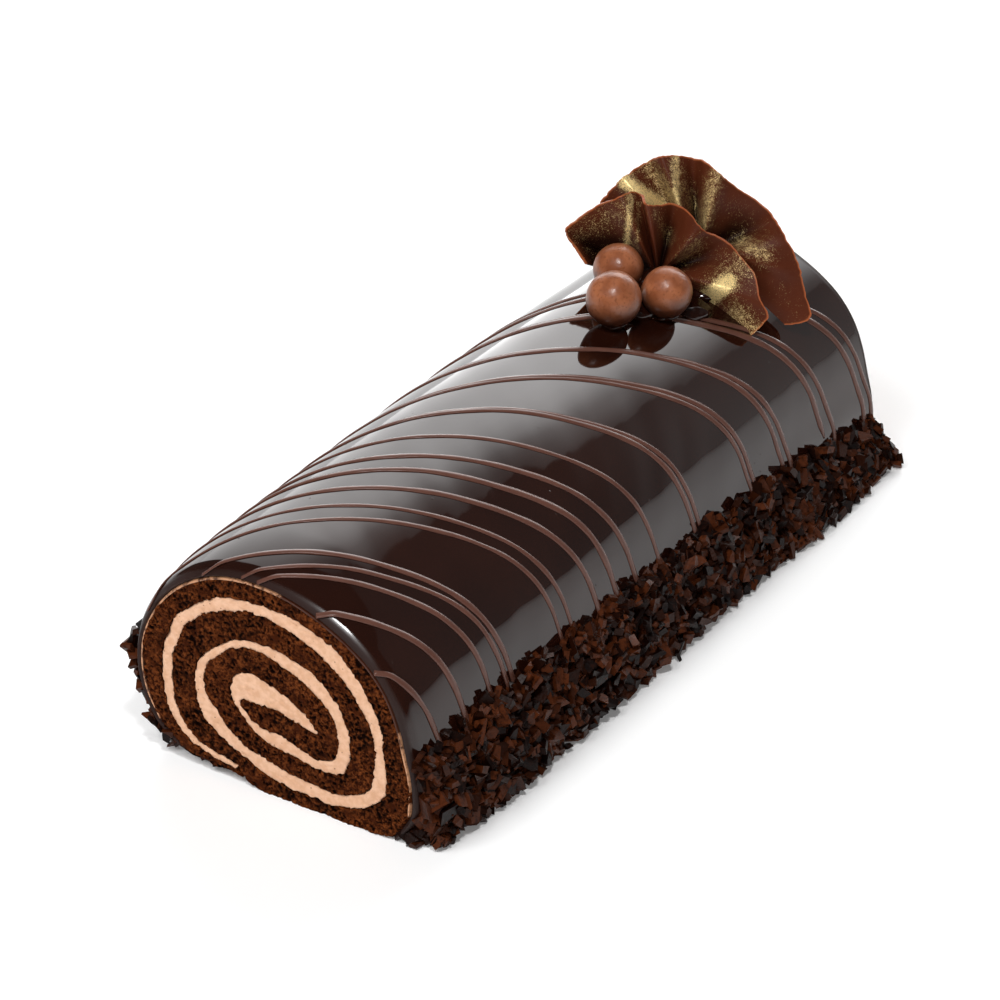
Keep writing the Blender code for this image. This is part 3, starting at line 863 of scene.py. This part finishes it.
# ---- Chocolate fans -----------------------------------------------------------------
# Dark milk chocolate spread thin on marble and scraped up into two pleated sheets,
# gathered at the foot. The rims are thin and torn, and gold dust is brushed on.
FAN_TURN, FAN_RISE = math.radians(33.2), math.radians(31.0)     # turned right, leaning back
ACROSS = Vector((math.cos(FAN_TURN), math.sin(FAN_TURN), 0.0))
FAN_FRONT = Vector((math.sin(FAN_TURN), -math.cos(FAN_TURN), 0.0))
FORWARD = FAN_FRONT * math.cos(FAN_RISE) + Vector((0.0, 0.0, math.sin(FAN_RISE)))
UPWARD = FORWARD.cross(ACROSS)
FANS = {      # foot in mm from the heart, front cut and floor; neck and rim across, up, forward
    "fan_front": {
        "foot": (5.0, 211.5, 75.5), "neck": (-2.4, 8.4, -3.0), "seed": 9,
        "rim": (
            (27.2, -13.0, -2.5), (32.3, -7.3, 1.0), (29.8, -1.4, 2.0), (28.0, 6.6, 0.5),
            (21.3, 15.1, -2.0), (16.5, 18.3, -0.5), (11.2, 20.7, 3.5), (8.0, 25.2, 1.5),
            (3.2, 28.8, -2.5), (-1.6, 28.5, 0.5), (-5.3, 28.4, 3.5), (-7.5, 29.2, 3.0),
            (-8.1, 31.6, -1.0), (-10.7, 32.9, 0.0), (-15.4, 31.1, 2.5), (-22.9, 27.9, -1.5),
            (-30.9, 22.0, -4.0), (-32.1, 19.9, -5.5), (-28.8, 15.6, -8.0), (-25.3, 10.2, -9.0),
        ),
        "dust": (                      # from, to (across, up), half width, strength
            ((10.0, -4.0), (19.5, 4.0), 3.8, 1.0), ((22.0, -5.0), (27.0, -11.0), 5.0, 0.5),
            ((-11.5, 31.0), (-12.8, 15.0), 1.8, 0.66), ((-8.8, 29.0), (-9.5, 14.0), 1.6, 0.42),
            ((5.0, 11.0), (10.0, 16.0), 4.0, 0.40), ((16.0, 2.0), (25.0, 10.0), 8.0, 0.42),
            ((-28.0, 20.0), (-14.0, 27.0), 6.0, 0.36), ((1.0, 18.0), (-3.0, 25.0), 3.0, 0.38),
            ((-24.0, 14.0), (-14.0, 12.0), 4.0, 0.30),
        ),
    },
    "fan_back": {
        "foot": (9.0, 228.0, 74.5), "neck": (-1.3, 9.3, -1.0), "seed": 8,
        "rim": (
            (26.0, -14.5, 0.0), (34.0, -12.7, 0.5), (32.4, -4.0, 1.5), (30.8, 3.0, 3.0),
            (27.9, 10.5, 2.5), (23.3, 19.0, -2.5), (18.0, 24.9, -2.0), (9.9, 30.0, 1.0),
            (4.6, 34.3, 3.5), (0.3, 37.8, 1.0), (-3.5, 39.3, -2.5), (-8.8, 40.0, 0.5),
            (-14.2, 39.5, 3.5), (-18.0, 38.1, -1.5), (-22.2, 35.7, 0.0), (-26.5, 32.4, 3.0),
            (-30.3, 28.7, 0.0), (-33.5, 24.4, -3.0),
        ),
        "dust": (
            ((-25.0, 31.0), (-14.0, 24.0), 3.4, 0.92), ((-18.0, 36.0), (-10.0, 26.0), 4.0, 0.52),
            ((-9.3, 38.5), (-8.8, 22.0), 2.4, 0.68), ((3.4, 33.0), (0.0, 18.0), 3.6, 0.52),
            ((12.0, 12.0), (19.0, 8.0), 5.0, 0.50), ((-4.0, 24.0), (-8.0, 34.0), 4.0, 0.42),
            ((20.0, 14.0), (10.0, 22.0), 6.0, 0.22), ((24.0, -2.0), (28.0, -10.0), 5.0, 0.15),
        ),
    },
}
FAN_DEPTH = 0.85 * MM
NECK_SHARE = 0.12                      # share of the way out that is gathered in the neck
# The rim is coloured pale orange as painted light shining through the thin edge.
RIM_SHARE = 0.972                      # beyond this share the sheet is thin and pale


def through(points, place_at):
    """The smooth curve through the points, place_at from 0 to 1 along them."""
    step = clamp(place_at) * (len(points) - 1)
    i = min(int(step), len(points) - 2)
    f = step - i
    a, b, c, d = (Vector(points[min(max(i + k, 0), len(points) - 1)]) for k in (-1, 0, 1, 2))
    return b + 0.5 * f * (c - a + f * (2 * a - 5 * b + 4 * c - d + f * (3 * (b - c) + d - a)))


def dust_at(patches, across, up):
    """How thickly gold dust lies at a place of the sheet, 0 to 1."""
    here, thick = Vector((across, up)), 0.05
    for first, last, half, strength in patches:
        a, b = Vector(first), Vector(last)
        f = clamp((here - a).dot(b - a) / (b - a).length_squared)
        thick = max(thick, strength * math.exp(-((here - a.lerp(b, f)).length / half) ** 2))
    return thick


fan_finish, shader, spot = new_finish("fan_chocolate", Roughness=0.4, Specular_IOR_Level=0.14)
dust = spot.attribute("dust")
rim = spot.attribute("rim")
fold_shade = spot.attribute("fold_shade")
colour = spot.noise(6.0, 3.0).mix((0.056, 0.0118, 0.0046), (0.094, 0.0220, 0.0085))
# Painted shade: the folds that lean back and the half of the sheet towards the foot are coloured
# darker.
colour = fold_shade.between(0.05, 0.85).mix(colour, (0.012, 0.0026, 0.0011))
# Painted light: the rim's pale orange stands for light shining through the thin chocolate.
colour = rim.between(0.2, 0.9).mix(colour, (0.36, 0.095, 0.032))
grains = spot.noise(0.30, 3.0, 0.8) * 0.85 + spot.noise(1.5, 2.0, 0.6) * 0.22
gold = (grains + dust * 0.35).between(0.70, 0.79) * spot.noise(0.25, 2.0).between(0.32, 0.46)
spot.feed(shader.inputs["Base Color"], gold.mix(colour, (0.98, 0.74, 0.33)))
spot.feed(shader.inputs["Metallic"], gold * 0.3)
spot.feed(shader.inputs["Roughness"], gold * -0.06 + 0.42)
spot.feed(shader.inputs["Normal"], (gold * 0.5 + spot.noise(1.2, 3.0) * 0.5).bump(0.12, 0.7))

for name, fan in FANS.items():
    bm = bmesh.new()
    bmesh.ops.create_grid(bm, x_segments=230, y_segments=90, size=0.5)
    dust_layer = bm.verts.layers.float.new("dust")
    rim_layer = bm.verts.layers.float.new("rim")
    fold_shade_layer = bm.verts.layers.float.new("fold_shade")
    neck, foot, seed = Vector(fan["neck"]), Vector(fan["foot"]), fan["seed"]
    for vert in bm.verts:
        across, out = 0.5 - vert.co.x, vert.co.y + 0.5
        edge = through(fan["rim"], 1.0 - across)
        torn = noise.noise(Vector((across * 90.0, seed, 0.0))) * 0.3
        torn += noise.noise(Vector((across * 30.0, seed, 3.0))) * 0.4
        gathered = neck + Vector(((across - 0.5) * 7.0, -abs(across - 0.5) * 3.0, edge.z * 0.35))
        if out < NECK_SHARE:
            here = gathered * (out / NECK_SHARE)
        else:
            spread = (out - NECK_SHARE) / (1.0 - NECK_SHARE)
            here = gathered.lerp(edge, spread)
            here += (edge - gathered).normalized() * torn * spread**6
            here.z += edge.z * 1.5 * math.sin(math.pi * spread) * (1.0 - 0.35 * spread)
            here.z += 0.25 * noise.noise(Vector((across * 14.0, out * 3.0, seed))) * spread
        point = foot + ACROSS * here.x + UPWARD * here.y + FORWARD * here.z
        vert[dust_layer] = dust_at(fan["dust"], here.x, here.y)
        vert[rim_layer] = max(0.0, (out - RIM_SHARE) / (1.0 - RIM_SHARE))
        # Painted shade in the folds that lean back and towards the gathered foot.
        folded_back = max(0.0, -edge.z / 3.0) * min(1.0, 2.2 * (1.0 - out))
        vert[fold_shade_layer] = folded_back + 1.3 * max(0.0, 0.5 - out)
        vert.co = point * MM
    bmesh.ops.recalc_face_normals(bm, faces=bm.faces)
    if sum(face.normal.dot(FORWARD) for face in bm.faces) < 0:
        bmesh.ops.reverse_faces(bm, faces=bm.faces)
    bm.normal_update()
    made = bmesh.ops.extrude_face_region(bm, geom=bm.faces[:], use_keep_orig=True)["geom"]
    for vert in (item for item in made if isinstance(item, bmesh.types.BMVert)):
        vert.co -= vert.normal * FAN_DEPTH
    bmesh.ops.recalc_face_normals(bm, faces=bm.faces)
    bmesh.ops.translate(bm, vec=(HEART, FRONT, 0.0), verts=bm.verts)
    add_piece("pleated_" + name, bm, fan_finish, (name,), sharp=50)


# ---- Melted foot --------------------------------------------------------------------
# The chocolate that glues the fans and the balls down: a spoonful of dark glaze that
# has spread between them and set shiny.
PUDDLES = (                            # mm beside the heart, from the front; half width, height
    (2.0, 210.0, 10.0, 8.0), (9.0, 227.0, 8.0, 3.5), (1.5, 198.0, 7.0, 3.6),
    (13.0, 213.0, 6.0, 2.6), (-6.0, 205.0, 6.0, 4.2),
)
for number, (across, along, wide, high) in enumerate(PUDDLES):
    bm = bmesh.new()
    bmesh.ops.create_uvsphere(bm, u_segments=64, v_segments=32, radius=1.0)
    y = FRONT + along * MM
    centre = skin_point(skin_share(HEART + across * MM, y), y)
    for vert in bm.verts:
        swell_at = vert.co * 1.5 + Vector((number * 3.0, 0.0, 0.0))
        vert.co *= 1.0 + 0.30 * noise.noise(swell_at * 0.7) + 0.02 * noise.noise(swell_at * 3.0)
    bmesh.ops.scale(bm, vec=(wide * MM, wide * MM, high * MM), verts=bm.verts)
    bmesh.ops.translate(bm, vec=centre, verts=bm.verts)
    add_piece("melted_foot_%d" % (number + 1), bm, glaze_finish)


# ---- The stage ----------------------------------------------------------------------
# A plain pale floor, a large soft key light overhead, a weak fill at the right and a
# small spark for the highlights. The glaze mirrors a wall behind the roll with a wide
# window in it, which the camera itself doesn't see.
def stage_piece(name, bm, material):
    """Make a bmesh a piece of the stage."""
    mesh = bpy.data.meshes.new(name)
    bm.to_mesh(mesh)
    bm.free()
    mesh.materials.append(material)
    made = bpy.data.objects.new(name, mesh)
    bpy.context.scene.collection.objects.link(made)
    return made


FLOOR_SIZE = 12.0                      # m
floor_finish, shader, spot = new_finish(
    "floor", Base_Color=(0.92, 0.92, 0.92, 1.0), Roughness=0.7,
    Emission_Color=(1.0, 1.0, 1.0, 1.0), Emission_Strength=0.10,
)
bm = bmesh.new()
bmesh.ops.create_grid(bm, x_segments=1, y_segments=1, size=FLOOR_SIZE / 2)
bmesh.ops.translate(bm, vec=(0.0, 0.0, cad_bounds[0][2]), verts=bm.verts)
stage_piece("floor", bm, floor_finish)


def facing(centre, way, distance):
    """A matrix at a distance from the centre that way, looking back at it along -Z."""
    out = Vector(way).normalized()
    turn = out.to_track_quat("Z", "Y").to_matrix().to_4x4()
    return Matrix.Translation(centre + out * distance) @ turn


def soft_box(name, way, size, power, mirrored):
    """A rectangular light 1.6 m from the cake; mirrored ones show in glossy surfaces."""
    light = bpy.data.lights.new(name, "AREA")
    light.shape = "RECTANGLE"
    light.size, light.size_y = size
    light.energy = power
    made = bpy.data.objects.new(name, light)
    made.matrix_world = facing(Vector((0.0, 0.0, 0.03)), way, 1.6)
    made.visible_glossy = mirrored
    bpy.context.scene.collection.objects.link(made)


soft_box("key", (-0.14, -0.62, 0.775), (0.9, 0.7), 15.0, False)
soft_box("fill", (0.52, -0.78, 0.36), (0.5, 0.4), 3.0, False)
soft_box("spark", (0.26, -0.40, 0.87), (0.18, 0.14), 10.0, True)

WALL_AWAY, WALL_WIDE, WALL_HIGH = 1.1, 3.8, 1.8      # m
ROLL_LINE = 0.06                       # m, height of the line the glow turns round
NEAR_REACH = 1.02                      # m from that line, where the glow is as listed below
DARK_EDGE, LIGHT_EDGE = 72.0, 72.6     # degrees, the two sides of the window's frame
GLOW = (                               # degrees round the line from +X, brightness
    (-40, 0.2), (0, 0.17), (55, 0.14), (DARK_EDGE, 0.12),
    (LIGHT_EDGE, 0.42), (78, 0.60), (83, 0.90), (89, 1.45), (96, 2.6), (104, 3.5), (112, 3.85),
    (122, 3.85), (134, 3.5), (148, 3.2), (162, 3.05), (176, 3.3), (190, 4.6), (220, 4.0),
)


def wall_glow(x, z):
    """Brightness of the back wall: a window on the left that fades outward, and a dim wall."""
    turn = math.degrees(math.atan2(z - ROLL_LINE, x))
    turn = turn + 360 if turn < -90 else turn
    reach = math.hypot(x, z - ROLL_LINE)
    turn -= 55.0 * (min(reach, 1.4) - NEAR_REACH) * clamp(turn / 60.0)
    frame_edge = 74.0 + 4.5 * noise.noise(Vector((reach * 22.0, 0.0, 0.0)))
    in_window = turn >= frame_edge
    turn = max(turn, LIGHT_EDGE) if in_window else min(turn, DARK_EDGE)
    base = GLOW[-1][1]
    for (t0, b0), (t1, b1) in zip(GLOW, GLOW[1:]):
        if turn <= t1:
            base = b0 + (b1 - b0) * max(0.0, (turn - t0) / (t1 - t0))
            break
    if in_window:
        return base * min(1.15, math.exp((NEAR_REACH - reach) * 1.1))
    return base * (1.0 + 1.8 * clamp((NEAR_REACH - reach) / 0.14))


wall_finish = bpy.data.materials.new("back_wall")
wall_finish.use_nodes = True
tree = wall_finish.node_tree
tree.nodes.remove(tree.nodes["Principled BSDF"])
glow = tree.nodes.new("ShaderNodeEmission")
tree.links.new(glow.outputs["Emission"], tree.nodes["Material Output"].inputs["Surface"])
glow_at = tree.nodes.new("ShaderNodeAttribute")
glow_at.attribute_name = "glow"
tree.links.new(glow_at.outputs["Fac"], glow.inputs["Strength"])

bm = bmesh.new()
bmesh.ops.create_grid(bm, x_segments=560, y_segments=260, size=0.5)
glow_layer = bm.verts.layers.float.new("glow")
for vert in bm.verts:
    x, z = vert.co.x * WALL_WIDE, (vert.co.y + 0.5) * WALL_HIGH + 2 * MM
    vert.co = (x, WALL_AWAY, z)
    vert[glow_layer] = wall_glow(x, z)
bmesh.ops.recalc_face_normals(bm, faces=bm.faces)
stage_piece("back_wall", bm, wall_finish).visible_camera = False

world = bpy.data.worlds.new("studio")
bpy.context.scene.world = world
world.use_nodes = True
background = world.node_tree.nodes["Background"]
background.inputs["Color"].default_value = (1.0, 0.97, 0.95, 1.0)
background.inputs["Strength"].default_value = 0.06

CAMERA_TURN, CAMERA_RISE = math.radians(33.2), math.radians(31.0)
CAMERA_AWAY = 1.6867                   # m
level = Vector((math.sin(CAMERA_TURN), -math.cos(CAMERA_TURN), 0.0)) * math.cos(CAMERA_RISE)
toward_camera = level + Vector((0.0, 0.0, math.sin(CAMERA_RISE)))
looked_at = Vector((HEART - 17.7 * MM, FRONT + 149.0 * MM, 22.8 * MM))
camera_data = bpy.data.cameras.new("camera")
camera_data.lens = 190.8
camera_data.sensor_width = 36.0
camera_data.clip_end = 50.0
camera = bpy.data.objects.new("camera", camera_data)
camera.matrix_world = facing(looked_at, toward_camera, CAMERA_AWAY)
bpy.context.scene.collection.objects.link(camera)
bpy.context.scene.camera = camera
bpy.context.scene.view_settings.view_transform = "Standard"
